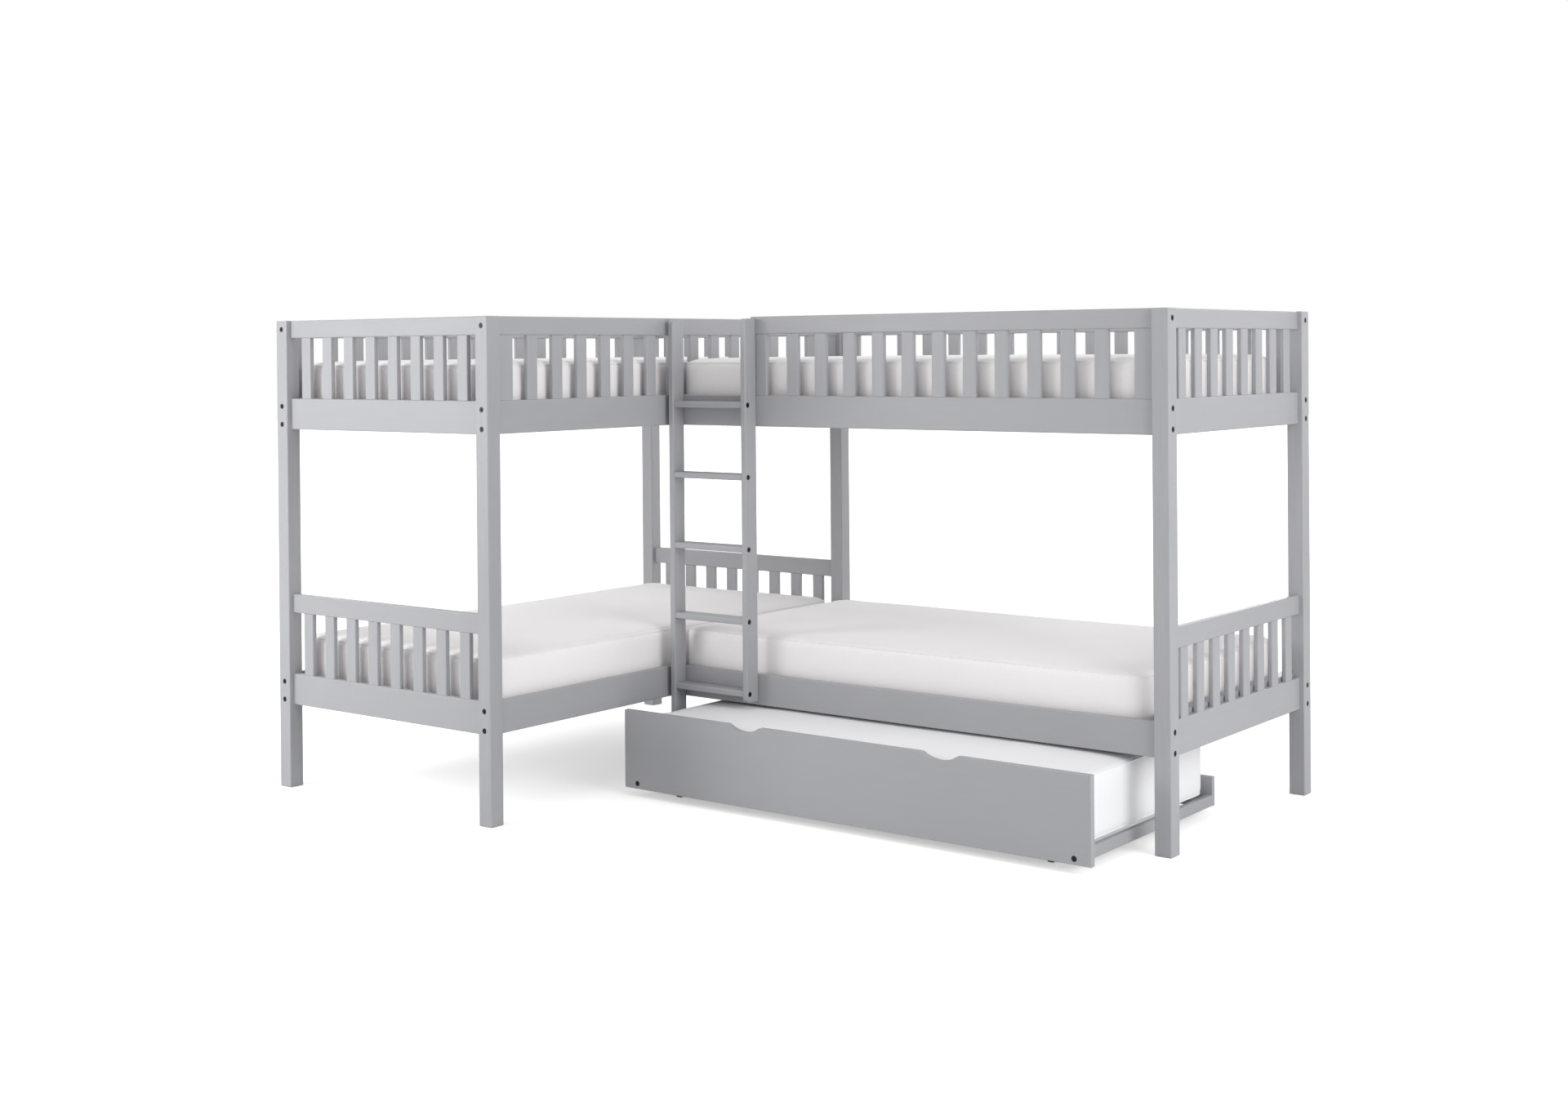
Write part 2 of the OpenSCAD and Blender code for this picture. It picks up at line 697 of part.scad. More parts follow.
module outer_upper_side_rail() { side_rail_y(left_c, upper_rail_z, true, 1); }
module inner_upper_side_rail() { side_rail_y(inner_c, upper_rail_z, true, -1); }
module front_upper_side_rail() {
    side_rail_x(inner_face, upper_rail_z, front_c, 1, guard_start, front_slats, front_stile_w, true);
}
module back_upper_side_rail() {
    side_rail_x(bunk_w, upper_rail_z, back_c, -1, bunk_w, guard_slats, stile_w, false);
}
module outer_lower_side_rail() { side_rail_y(left_c, lower_rail_z, false, 1); }
module inner_lower_side_rail() { side_rail_y(inner_c, lower_rail_z, false, -1); }
module front_lower_side_rail() {
    side_rail_x(inner_face, lower_rail_z, front_c, 1, guard_start, 0, 0, true);
}
module back_lower_side_rail() {
    side_rail_x(bunk_w, lower_rail_z, back_c, -1, bunk_w, 0, 0, false);
}

// ---------- decks ----------

module deck_cleats() {
    color(deck_wood) in_frame() for (z = [lower_rail_z, upper_rail_z]) {
        for (x = [left_c + rail_t / 2, inner_c - rail_t / 2 - cleat])
            translate([x, post_w, z]) cube([cleat, long_y, cleat]);
        for (y = [front_in, back_in - cleat])
            translate([bunk_w, y, z]) cube([long_x, cleat, cleat]);
    }
    stop_bar();
}

// Bar between the right end's posts that keeps the lower mattress from sliding
module stop_bar() {
    x0 = inner_face + right_head_gap + right_mattress_l + stop_gap;
    z0 = lower_rail_z + deck_z + deck_t;
    color(deck_wood) in_frame() translate([x0, right_y + post_w + deck_play, z0])
        cube([right_c - rail_t / 2 - x0, bunk_w - 2 * post_w - 2 * deck_play,
            lower_rail_top + stop_rise - z0]);
}

module deck(z) {
    l = inside_w - 2 * deck_play;
    for (y = spaced(deck_slats, deck_slat_w, post_w, left_l - post_w))
        translate([left_c + rail_t / 2 + deck_play, y - deck_slat_w / 2, z]) cube([l, deck_slat_w, deck_t]);
    for (x = spaced(deck_slats, deck_slat_w, bunk_w, total_l - post_w))
        translate([x - deck_slat_w / 2, front_in + deck_play, z]) cube([deck_slat_w, l, deck_t]);
}

module upper_deck_slats() { color(deck_wood) in_frame() deck(upper_rail_z + deck_z); }
module lower_deck_slats() { color(deck_wood) in_frame() deck(lower_rail_z + deck_z); }

// ---------- corner brackets ----------

// Angle bracket: one leg along X on a rail's face, the other of length b along Y
module bracket(b) {
    cube([bracket_l, bracket_t, bracket_h]);
    cube([bracket_t, b, bracket_h]);
}

module corner_brackets() {
    side_z = side_rail_h - bracket_h - bracket_margin;
    color(zinc) in_frame() {
        for (z = [lower_rail_z, upper_rail_z]) {
            translate([inner_face, front_in, z + side_z]) bracket(bracket_l);
            translate([bunk_w, back_in, z + side_z]) mirror([0, 1, 0]) bracket(rail_in);
        }
        translate([bunk_w, back_in, height - bracket_h - bracket_margin]) mirror([0, 1, 0]) bracket(rail_in);
    }
}

// ---------- ladder ----------

// Side outline of a ladder rail, Y to the right and Z up, rounded at its ends
module ladder_outline(z0) {
    r = ladder_end_r;
    foot_r = z0 > 0 ? r : ladder_edge_r;
    difference() {
        translate([0, z0]) square([ladder_d, ladder_top - z0]);
        outline_corner(0, ladder_top, r, 1, -1);
        outline_corner(ladder_d, ladder_top, ladder_edge_r, -1, -1);
        outline_corner(0, z0, foot_r, 1, 1);
    }
}

// What rounding takes from a square corner at (x, z); sx and sz point into the board
module outline_corner(x, z, r, sx, sz) {
    difference() {
        translate([x - (sx < 0 ? r : cut), z - (sz < 0 ? r : cut)]) square([r + cut, r + cut]);
        translate([x + sx * r, z + sz * r]) circle(r = r);
    }
}

module ladder_rail(x, z0) {
    color(wood) in_frame() difference() {
        translate([x, ladder_front, 0]) intersection() {
            rotate([90, 0, 90]) linear_extrude(ladder_t) ladder_outline(z0);
            linear_extrude(ladder_top) rounded_rect(ladder_t, ladder_d, ladder_edge_r);
        }
        at_rung_bolts() bolt_hole(ladder_t, short_bite);
        at_ladder_bolts() bolt_hole(rail_t, short_bite);
        rung_bars(joint_clear);
    }
}

// The rungs, or with grow above 0 the housings that they fit
module rung_bars(grow) {
    for (i = [0:rungs - 1])
        translate([ladder_x + ladder_t - rung_housing - grow, ladder_front + rung_setback - grow,
            first_rung_z + i * rung_pitch - rung_h / 2 - grow])
            bar_x(ladder_w - 2 * ladder_t + 2 * rung_housing + 2 * grow, rung_d + 2 * grow,
                rung_h + 2 * grow, rail_r);
}

module ladder_left_rail() { ladder_rail(ladder_x, 0); }
module ladder_right_rail() { ladder_rail(ladder_inner, ladder_cut_z); }

module ladder_rungs() {
    color(wood) in_frame() difference() {
        rung_bars(0);
        at_rung_bolts() bolt_hole(ladder_t, short_bite);
    }
}

// ---------- mattresses ----------

// Points round a rounded rectangle of half sizes a and b.  The straight sides are
// drawn in by a sine curve that is deepest at their middles.
corner_steps = 6;
side_steps = 8;

function side_pull(t) = sin(180 * t);

function quarter(a, b, r, pull, k) =
    let (sx = k == 0 || k == 3 ? 1 : -1, sy = k < 2 ? 1 : -1,
        across = k % 2 == 0,
        len = across ? 2 * (a - r) : 2 * (b - r))
    concat(
        [for (i = [0:corner_steps])
            let (t = 90 * (k + i / corner_steps))
            [sx * (a - r) + r * cos(t), sy * (b - r) + r * sin(t)]],
        [for (i = [1:side_steps - 1])
            let (t = i / side_steps, in = pull * side_pull(t))
            across ? [sx * (a - r) - sx * t * len, sy * (b - in)]
                   : [sx * (a - in), sy * (b - r) - sy * t * len]]);

function outline(a, b, r, pull) = [for (k = [0:3]) each quarter(a, b, r, pull, k)];

ring_n = 4 * (corner_steps + side_steps);

// Rings of the cushion from the underside up: inset from the widest outline, height,
// and how much of the drawn-in form the ring has
function cushion_rings(a, t) =
    let (e = t - crown)
    [[soft_r, 0, 0], [0.3 * soft_r, 0.3 * soft_r, 0.3], [0, soft_r, 0.7], [0, e / 2, 1],
        [0, e - soft_r, 0.7], [0.3 * soft_r, e - 0.3 * soft_r, 0.3], [soft_r, e, 0],
        [0.25 * a, e + 0.55 * crown, 0], [0.5 * a, e + 0.85 * crown, 0], [0.8 * a, e + 0.98 * crown, 0]];

module cushion(l, w, t) {
    a = l / 2;
    b = w / 2;
    rings = cushion_rings(b, t);
    pts = [for (k = rings) each [for (p = outline(a - k[0], b - k[0], max(corner_r - k[0], 3), draw_in * k[2]))
        [p[0], p[1], k[1]]]];
    last = len(rings) - 1;
    bottom = len(pts);
    top = bottom + 1;
    translate([a, b, 0]) polyhedron(
        points = concat(pts, [[0, 0, 0], [0, 0, t]]),
        faces = concat(
            [for (k = [0:last - 1], i = [0:ring_n - 1])
                let (j = (i + 1) % ring_n) [k * ring_n + i, (k + 1) * ring_n + i, (k + 1) * ring_n + j]],
            [for (k = [0:last - 1], i = [0:ring_n - 1])
                let (j = (i + 1) % ring_n) [k * ring_n + i, (k + 1) * ring_n + j, k * ring_n + j]],
            [for (i = [0:ring_n - 1]) [bottom, i, (i + 1) % ring_n]],
            [for (i = [0:ring_n - 1]) [top, last * ring_n + (i + 1) % ring_n, last * ring_n + i]]));
}

module left_mattress(z) {
    color(white_fabric) in_frame()
        translate([left_c + rail_t / 2 + side_gap + mattress_w, rail_in + rail_t + end_gap, z])
            rotate([0, 0, 90]) cushion(mattress_l, mattress_w, mattress_t);
}

module right_mattress(z) {
    color(white_fabric) in_frame()
        translate([inner_face + right_head_gap, front_in + side_gap, z])
            cushion(right_mattress_l, mattress_w, mattress_t);
}

deck_top = deck_z + deck_t + rest_lift;

module upper_left_mattress() { left_mattress(upper_rail_z + deck_top); }
module upper_right_mattress() { right_mattress(upper_rail_z + deck_top); }
module lower_left_mattress() { left_mattress(lower_rail_z + deck_top); }
module lower_right_mattress() { right_mattress(lower_rail_z + deck_top); }

module trundle_mattress() {
    color(white_fabric) in_frame()
        translate([trundle_x0 + trundle_mattress_gap, trundle_in_y + trundle_mattress_gap,
            trundle_z + trundle_rail_h + rest_lift])
            cushion(trundle_x1 - trundle_x0 - 2 * trundle_mattress_gap,
                trundle_back_y - trundle_in_y - trundle_mattress_gap - trundle_back_gap, trundle_mattress_t);
}

// ---------- trundle ----------

// Finger scoop cut from a top edge at Y = 0: a shallow arc with rounded shoulders
module scoop() {
    r = (scoop_w * scoop_w / 4 + scoop_depth * scoop_depth) / (2 * scoop_depth);
    rise = r - scoop_depth;                          // arc's centre above the top edge
    f = scoop_shoulder_r;
    half = sqrt((r + f) * (r + f) - (rise + f) * (rise + f));
    turn = atan2(rise + f, half);                    // direction of the point where the arcs meet
    shoulder = [for (i = [0:6]) let (t = 90 - (90 - turn) * i / 6) [-half + f * cos(t), f * sin(t) - f]];
    arc = [for (i = [1:23]) let (t = 180 + turn + (180 - 2 * turn) * i / 24) [r * cos(t), rise + r * sin(t)]];
    other = [for (i = [6:-1:0]) [-shoulder[i][0], shoulder[i][1]]];
    polygon(concat([[-half, cut]], shoulder, arc, other, [[half, cut]]));
}

module trundle_front_panel() {
    color(wood) in_frame() difference() {
        union() {
            translate([panel_x, panel_y, trundle_z]) intersection() {
                face_xz(panel_t) difference() {
                    square([panel_l, panel_h]);
                    for (s = [-1, 1]) translate([panel_l / 2 + s * scoop_from_mid, panel_h]) scoop();
                }
                bevelled_bar_x(panel_l, panel_t, panel_h, panel_bevel);
            }
            translate([trundle_first, trundle_in_y, trundle_z]) cube([trundle_last - trundle_first, ledge_d, ledge_h]);
        }
        at_panel_bolts() bolt_hole(panel_t, short_bite);
    }
}

module trundle_back_board() {
    color(wood) in_frame() difference() {
        union() {
            translate([trundle_x0, trundle_back_y, trundle_z])
                bar_x(trundle_x1 - trundle_x0, back_t, back_h, board_r);
            translate([trundle_first, trundle_back_y - ledge_d, trundle_z])
                cube([trundle_last - trundle_first, ledge_d, ledge_h]);
        }
        at_back_board_bolts() bolt_hole(back_t, short_bite);
    }
}

module trundle_end_rails() {
    color(wood) in_frame() difference() {
        for (x = [trundle_x0, trundle_last]) translate([x, trundle_in_y, trundle_z])
            bar_y(trundle_back_y - trundle_in_y, rail_t, trundle_rail_h, board_r);
        at_panel_bolts() bolt_hole(panel_t, short_bite);
        at_back_board_bolts() bolt_hole(back_t, short_bite);
    }
}

module trundle_deck_slats() {
    color(deck_wood) in_frame()
        for (x = spaced(trundle_slats, deck_slat_w, trundle_first, trundle_last))
            translate([x - deck_slat_w / 2, trundle_in_y + deck_play, trundle_deck_z])
                cube([deck_slat_w, trundle_back_y - trundle_in_y - 2 * deck_play, trundle_slat_t]);
}

module trundle_bolts() {
    color(black_metal) in_frame() {
        at_panel_bolts() bolt(panel_t, short_bite);
        at_back_board_bolts() bolt(back_t, short_bite);
    }
}

// ---------- casters ----------

module at_casters() {
    for (x = WHEEL_X, y = [front_wheel_y, back_wheel_y]) translate([x, y, 0]) children();
}

// Fork: a screw plate under the slat and two legs that hold the axle
module caster_forks() {
    outer = fork_gap + 2 * fork_t;
    color(zinc) in_frame() at_casters() difference() {
        union() {
            translate([-outer / 2, -fork_plate_l / 2, trundle_deck_z - fork_t])
                cube([outer, fork_plate_l, fork_t]);
            for (x = [-outer / 2, fork_gap / 2]) {
                translate([x, -fork_leg_w / 2, wheel_r]) cube([fork_t, fork_leg_w, trundle_deck_z - wheel_r]);
                translate([x, 0, wheel_r]) rotate([0, 90, 0]) cylinder(d = fork_leg_w, h = fork_t);
            }
        }
        translate([-outer, 0, wheel_r]) rotate([0, 90, 0])
            cylinder(d = axle_d + 2 * axle_clear, h = 2 * outer);
    }
}

module caster_axles() {
    outer = fork_gap + 2 * fork_t;
    rivet_h = 1.2;
    play = 0.2;
    color(zinc) in_frame() at_casters() translate([0, 0, wheel_r]) rotate([0, 90, 0]) {
        cylinder(d = axle_d, h = outer + 2 * play, center = true);
        for (s = [-1, 1]) translate([0, 0, s * (outer / 2 + play + rivet_h / 2)])
            cylinder(d = 1.6 * axle_d, h = rivet_h, center = true);
    }
}

// Wheel on the X axis through its centre: turned tread with shoulders, hubs and bore
module wheel() {
    w = wheel_w / 2;
    h = w + hub_w;
    rotate([0, 90, 0]) rotate_extrude() difference() {
        union() {
            translate([0, -h]) square([hub_d / 2, 2 * h]);
            translate([0, -w]) square([wheel_r - tread_r, 2 * w]);
            translate([0, tread_r - w]) square([wheel_r, 2 * (w - tread_r)]);
            for (y = [tread_r - w, w - tread_r]) translate([wheel_r - tread_r, y]) circle(r = tread_r);
        }
        translate([-cut, -h - cut]) square([cut + axle_d / 2 + axle_clear, 2 * (h + cut)]);
    }
}

module front_wheels() {
    color(rubber) in_frame() for (x = WHEEL_X) translate([x, front_wheel_y, wheel_r]) wheel();
}

module back_wheels() {
    color(rubber) in_frame() for (x = WHEEL_X) translate([x, back_wheel_y, wheel_r]) wheel();
}

// ---------- fasteners of the bed ----------

module connector_bolts() {
    color(black_metal) in_frame() {
        at_all_post_bolts() bolt(post_w, bolt_bite);
        at_rung_bolts() bolt(ladder_t, short_bite);
        at_ladder_bolts() bolt(rail_t, short_bite);
    }
}

module barrel_nuts() {
    color(zinc) in_frame() {
        at_nuts_y(left_c, bolt_z, 1) barrel_nut();
        at_nuts_y(inner_c, bolt_z, -1) barrel_nut();
        at_nuts_x(front_c, bolt_z, 1) barrel_nut();
        at_nuts_x(back_c, bolt_z, -1) barrel_nut();
    }
}

post_front_left();
post_front_inner();
post_back_left();
post_back_inner();
post_right_front();
post_right_back();
front_end_top_rail();
front_end_middle_rail();
front_end_lower_rail();
front_end_bottom_rail();
back_end_top_rail();
back_end_middle_rail();
back_end_lower_rail();
back_end_bottom_rail();
right_end_top_rail();
right_end_middle_rail();
right_end_lower_rail();
right_end_bottom_rail();
front_end_slats();
back_end_slats();
right_end_slats();
outer_guard_rail();
inner_guard_rail();
front_guard_rail();
back_guard_rail();
outer_guard_slats();
inner_guard_slats();
front_guard_slats();
back_guard_slats();
outer_upper_side_rail();
inner_upper_side_rail();
front_upper_side_rail();
back_upper_side_rail();
outer_lower_side_rail();
inner_lower_side_rail();
front_lower_side_rail();
back_lower_side_rail();
deck_cleats();
upper_deck_slats();
lower_deck_slats();
ladder_left_rail();
ladder_right_rail();
ladder_rungs();
upper_left_mattress();
upper_right_mattress();
lower_left_mattress();
lower_right_mattress();
trundle_mattress();
trundle_front_panel();
trundle_back_board();
trundle_end_rails();
trundle_deck_slats();
trundle_bolts();
caster_forks();
caster_axles();
front_wheels();
back_wheels();
connector_bolts();
barrel_nuts();
corner_brackets();
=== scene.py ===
"""Looks of the L-shaped bunk bed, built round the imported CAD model.

The bed's own pieces are the CAD nodes with painted, metal or rubber materials.  The five
mattresses are modelled here: a padded block, puffed out by a short cloth simulation, with
faint waves in its cover and a sewn tape round its top and bottom edges.
"""

import json
import math

import bmesh
import bpy
from mathutils import Matrix, Vector, noise
from mathutils.bvhtree import BVHTree


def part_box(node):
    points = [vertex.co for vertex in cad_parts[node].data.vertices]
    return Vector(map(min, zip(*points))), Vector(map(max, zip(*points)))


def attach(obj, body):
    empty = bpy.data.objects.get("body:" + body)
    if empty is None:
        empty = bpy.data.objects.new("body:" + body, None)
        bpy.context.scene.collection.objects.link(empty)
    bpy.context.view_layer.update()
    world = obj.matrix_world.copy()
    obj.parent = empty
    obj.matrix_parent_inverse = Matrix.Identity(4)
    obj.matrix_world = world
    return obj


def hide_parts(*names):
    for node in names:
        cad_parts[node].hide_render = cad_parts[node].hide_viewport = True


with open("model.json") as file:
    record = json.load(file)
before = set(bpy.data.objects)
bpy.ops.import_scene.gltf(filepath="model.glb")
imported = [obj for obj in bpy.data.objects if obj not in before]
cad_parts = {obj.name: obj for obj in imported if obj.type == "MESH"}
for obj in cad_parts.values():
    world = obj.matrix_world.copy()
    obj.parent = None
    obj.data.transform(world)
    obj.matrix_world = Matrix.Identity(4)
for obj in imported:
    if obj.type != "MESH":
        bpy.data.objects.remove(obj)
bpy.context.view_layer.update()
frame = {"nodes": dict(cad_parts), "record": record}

# ---------- sizes and places, metres unless another unit is named ----------

# The photograph's camera
IMAGE_W, IMAGE_H = 1920, 1361
FOCAL_PX = 2374.86           # focal length in pixels of the photograph
HORIZON_PX = 446.62          # row of the photograph where the camera's axis lies
CAMERA_PLACE = Vector((4.1450, -5.4078, 1.5407))
CAMERA_YAW, CAMERA_PITCH, CAMERA_ROLL = -0.6537, -0.0068, -0.0081    # radians
SENSOR_W = 36.0              # millimetres
CLIP_END = 200

# Mattresses: the block's form
CORNER_R = 0.060             # corner seen from above
HEAD_CORNER_R = 0.016        # the right bunk's corner beside the ladder, where no post stands
LEAST_R = 0.004              # a corner of an inset ring is never sharper than this
EDGE_R = 0.016               # soft edge round the top and the bottom
CROWN = 0.005                # rise of the top from its edges to its middle
CROWN_REACH = 0.92           # share of the half width over which the top rises
DRAW_IN = 0.004              # how far the middle of a side is drawn in
EDGE_DRAW = 0.6              # share of the draw-in that reaches the soft edges
LOWER_RISE = 0.010           # the lower mattresses' tops swell this much more than the upper ones'
TRUNDLE_RISE = 0.014         # the same for the trundle's mattress, whose top nearly meets the rail

# Mattresses: steps of the mesh
BLOCK_STEP = 0.030           # along the block's sides
TAPE_STEP = 0.020            # along the tapes
CORNER_STEPS = 7
EDGE_STEPS = 6
CROWN_STEPS = 12
MERGE = 0.00005              # points nearer than this become one

# Mattresses: simulation
INSET = 0.0035               # start of the simulation inside the CAD form
VOXEL = 0.016
SIM_FRAMES = 14
PUFF = 0.005                 # most that the simulation may move a point
RESTING = 0.020              # below this height a point rises or sinks less, down to none

# Mattresses: waves in the cover, as height, then waves a metre in plan and upright
BROAD_WAVE, BROAD_PLAN, BROAD_UP = 0.0016, 2.6, 6
FINE_WAVE, FINE_PLAN, FINE_UP = 0.0006, 9, 14
WAVES_FROM = 0.03            # height above the underside where the waves begin
WAVES_OVER = 0.05            # height over which they reach their full size

# Mattresses: sewn edge tapes
TAPE_R = 0.0028              # half thickness
TAPE_SIDES = 8
TAPE_PROUD = 0.15            # share of TAPE_R by which a tape's middle stands off the cover
TAPE_IN = 0.3 * EDGE_R       # a tape lies this far inside the outline and from the block's edge


# ---------- small helpers ----------

def body_of_node(node):
    for body, nodes in frame["record"]["behaviour"]["bodies"].items():
        if node in nodes:
            return body
    raise KeyError(node)


def add_object(name, data):
    obj = bpy.data.objects.new(name, data)
    bpy.context.scene.collection.objects.link(obj)
    return obj


def mesh_from(name, bm):
    mesh = bpy.data.meshes.new(name)
    bm.to_mesh(mesh)
    bm.free()
    return mesh


def shade_smooth(mesh):
    mesh.polygons.foreach_set("use_smooth", [True] * len(mesh.polygons))


def lerp(a, b, t):
    return a + (b - a) * t


# ---------- node-tree helpers ----------

MIDDLE = (0.3, 0.7)          # the range that a noise texture's values mostly fill
FULL = (0.0, 1.0)


class Shader:
    """A material with its Principled shader and short calls that add nodes to it."""

    def __init__(self, name, color, roughness, **sockets):
        self.mat = bpy.data.materials.new(name)
        self.mat.use_nodes = True
        self.mat.diffuse_color = (*color, 1.0)
        self.tree = self.mat.node_tree
        self.bsdf = self.tree.nodes["Principled BSDF"]
        self.bsdf.inputs["Base Color"].default_value = (*color, 1.0)
        self.bsdf.inputs["Roughness"].default_value = roughness
        for socket, value in sockets.items():
            self.bsdf.inputs[socket.replace("_", " ")].default_value = value
        coords = self.tree.nodes.new("ShaderNodeTexCoord")
        self.coords = coords.outputs["Object"]

    def stretched(self, scale):
        """The object's own coordinates in metres, times a scale on each axis."""
        node = self.tree.nodes.new("ShaderNodeMapping")
        node.inputs["Scale"].default_value = scale
        self.tree.links.new(self.coords, node.inputs["Vector"])
        return node.outputs["Vector"]

    def noise(self, vector, scale, detail, rough=0.5, distortion=0.0):
        node = self.tree.nodes.new("ShaderNodeTexNoise")
        node.inputs["Scale"].default_value = scale
        node.inputs["Detail"].default_value = detail
        node.inputs["Roughness"].default_value = rough
        node.inputs["Distortion"].default_value = distortion
        self.tree.links.new(vector, node.inputs["Vector"])
        return node.outputs["Fac"]

    def wave(self, vector, scale, distortion, bands):
        node = self.tree.nodes.new("ShaderNodeTexWave")
        node.bands_direction = bands
        node.inputs["Scale"].default_value = scale
        node.inputs["Distortion"].default_value = distortion
        self.tree.links.new(vector, node.inputs["Vector"])
        return node.outputs["Fac"]

    def remap(self, value, source, target):
        """The value with the source range stretched to the target range, and clamped there."""
        node = self.tree.nodes.new("ShaderNodeMapRange")
        for end, low, high in (("From", *source), ("To", *target)):
            node.inputs[end + " Min"].default_value = low
            node.inputs[end + " Max"].default_value = high
        self.tree.links.new(value, node.inputs["Value"])
        return node.outputs["Result"]

    def math(self, kind, a, b):
        node = self.tree.nodes.new("ShaderNodeMath")
        node.operation = kind
        for socket, value in zip(node.inputs, (a, b)):
            if isinstance(value, (int, float)):
                socket.default_value = value
            else:
                self.tree.links.new(value, socket)
        return node.outputs["Value"]

    def mixed(self, first, second, share):
        """The first value's share plus the second value's rest."""
        rest = 1 - share
        return self.math("ADD", self.math("MULTIPLY", first, share),
                         self.math("MULTIPLY", second, rest))

    def two_tone(self, factor, color, dark, light):
        """Base colour between the darkened and the lightened colour."""
        node = self.tree.nodes.new("ShaderNodeMix")
        node.data_type = "RGBA"
        node.inputs["A"].default_value = (*shade(color, dark), 1.0)
        node.inputs["B"].default_value = (*shade(color, light), 1.0)
        self.tree.links.new(factor, node.inputs["Factor"])
        self.tree.links.new(node.outputs["Result"], self.bsdf.inputs["Base Color"])

    def roughness(self, value):
        self.tree.links.new(value, self.bsdf.inputs["Roughness"])

    def bump(self, height, distance, strength):
        node = self.tree.nodes.new("ShaderNodeBump")
        node.inputs["Strength"].default_value = strength
        node.inputs["Distance"].default_value = distance
        self.tree.links.new(height, node.inputs["Height"])
        self.tree.links.new(node.outputs["Normal"], self.bsdf.inputs["Normal"])


def shade(color, factor):
    return tuple(min(1.0, c * factor) for c in color)


# ---------- materials ----------

PAINT = (0.374, 0.377, 0.394)
DECK_PAINT = (0.34, 0.344, 0.358)
COVER = (0.915, 0.894, 0.895)
TRUNDLE_COVER = (0.885, 0.887, 0.904)
TAPE_SHADE = 0.985           # the tapes are this much darker than the covers
BLACK = (0.035, 0.036, 0.040)
ZINC = (0.55, 0.56, 0.58)
RUBBER = (0.045, 0.045, 0.048)

GRAIN_ALONG, GRAIN_ACROSS = 1.5, 40    # scale of the wood's grain along and across the board
BRUSH = 5                    # the brush strokes are this many times finer than the grain
LYING_STREAK = 0.03          # how far the paint's tone varies on rails and boards
STANDING_STREAK = 0.06       # and on posts, slats and ladder rails
THREADS = 210                # scale of the cover's weave
METAL_GRAIN_ALONG, METAL_GRAIN_ACROSS = 40, 120


def painted_wood(name, color, along, streak):
    """Satin paint over a planed board whose grain runs along the named axis."""
    scale = [GRAIN_ALONG if axis == along else GRAIN_ACROSS for axis in "xyz"]
    s = Shader(name, color, roughness=0.42, Specular_IOR_Level=0.42)
    grain = s.noise(s.stretched(scale), scale=3.0, detail=5.0, rough=0.62, distortion=0.4)
    broad = s.noise(s.coords, scale=2.2, detail=2.0)
    brushed = s.noise(s.stretched([v * BRUSH for v in scale]), scale=2.0, detail=2.0)
    tone = s.mixed(grain, broad, 0.6)
    s.two_tone(s.remap(tone, MIDDLE, FULL), color, dark=1 - streak, light=1 + streak)
    s.roughness(s.remap(brushed, MIDDLE, (0.37, 0.47)))
    s.bump(s.mixed(grain, brushed, 0.7), distance=0.0003, strength=0.22)
    return s.mat


def cover_fabric(name, color):
    """Closely woven white cover: crossed sets of threads and faint slubs."""
    s = Shader(name, color, roughness=0.88,
               Specular_IOR_Level=0.2, Sheen_Weight=0.25, Sheen_Roughness=0.5)
    warp, weft, upright = [s.wave(s.coords, THREADS, distortion=0.6, bands=axis) for axis in "XYZ"]
    slub = s.noise(s.coords, scale=90, detail=4.0, rough=0.6)
    cloudy = s.noise(s.coords, scale=3.0, detail=2.0)
    weave = s.math("MULTIPLY", s.math("ADD", warp, s.math("ADD", weft, upright)), 0.33)
    tone = s.mixed(slub, cloudy, 0.5)
    s.two_tone(s.remap(tone, MIDDLE, FULL), color, dark=0.975, light=1.02)
    s.bump(s.mixed(weave, slub, 0.6), distance=0.0005, strength=0.4)
    return s.mat


def metal(name, color, roughness):
    """Drawn metal whose fine grain also varies its gloss."""
    s = Shader(name, color, roughness, Metallic=1.0)
    scale = (METAL_GRAIN_ALONG, METAL_GRAIN_ACROSS, METAL_GRAIN_ACROSS)
    grain = s.noise(s.stretched(scale), scale=4.0, detail=4.0)
    s.two_tone(s.remap(grain, MIDDLE, FULL), color, dark=0.85, light=1.1)
    s.roughness(s.remap(grain, MIDDLE, (roughness - 0.06, roughness + 0.08)))
    s.bump(grain, distance=0.0001, strength=0.3)
    return s.mat


def rubber(name, color):
    """Dull rubber with a little dust."""
    s = Shader(name, color, roughness=0.62, Specular_IOR_Level=0.4)
    dust = s.noise(s.coords, scale=160, detail=5.0, rough=0.7)
    s.two_tone(s.remap(dust, (0.35, 0.75), FULL), color, dark=0.8, light=1.5)
    s.roughness(s.remap(dust, MIDDLE, (0.55, 0.72)))
    s.bump(dust, distance=0.0002, strength=0.4)
    return s.mat


wood = {
    "x": painted_wood("grey_paint_x", PAINT, "x", LYING_STREAK),
    "y": painted_wood("grey_paint_y", PAINT, "y", LYING_STREAK),
    "z": painted_wood("grey_paint_z", PAINT, "z", STANDING_STREAK),
}
deck = {
    "x": painted_wood("deck_paint_x", DECK_PAINT, "x", LYING_STREAK),
    "y": painted_wood("deck_paint_y", DECK_PAINT, "y", LYING_STREAK),
}
covers = {
    "bed": cover_fabric("white_cover", COVER),
    "trundle": cover_fabric("trundle_cover", TRUNDLE_COVER),
}
tapes = {
    "bed": cover_fabric("cover_tape", shade(COVER, TAPE_SHADE)),
    "trundle": cover_fabric("trundle_tape", shade(TRUNDLE_COVER, TAPE_SHADE)),
}
black = metal("black_bolt", BLACK, roughness=0.42)
zinc = metal("zinc_steel", ZINC, roughness=0.35)
tread = rubber("wheel_rubber", RUBBER)

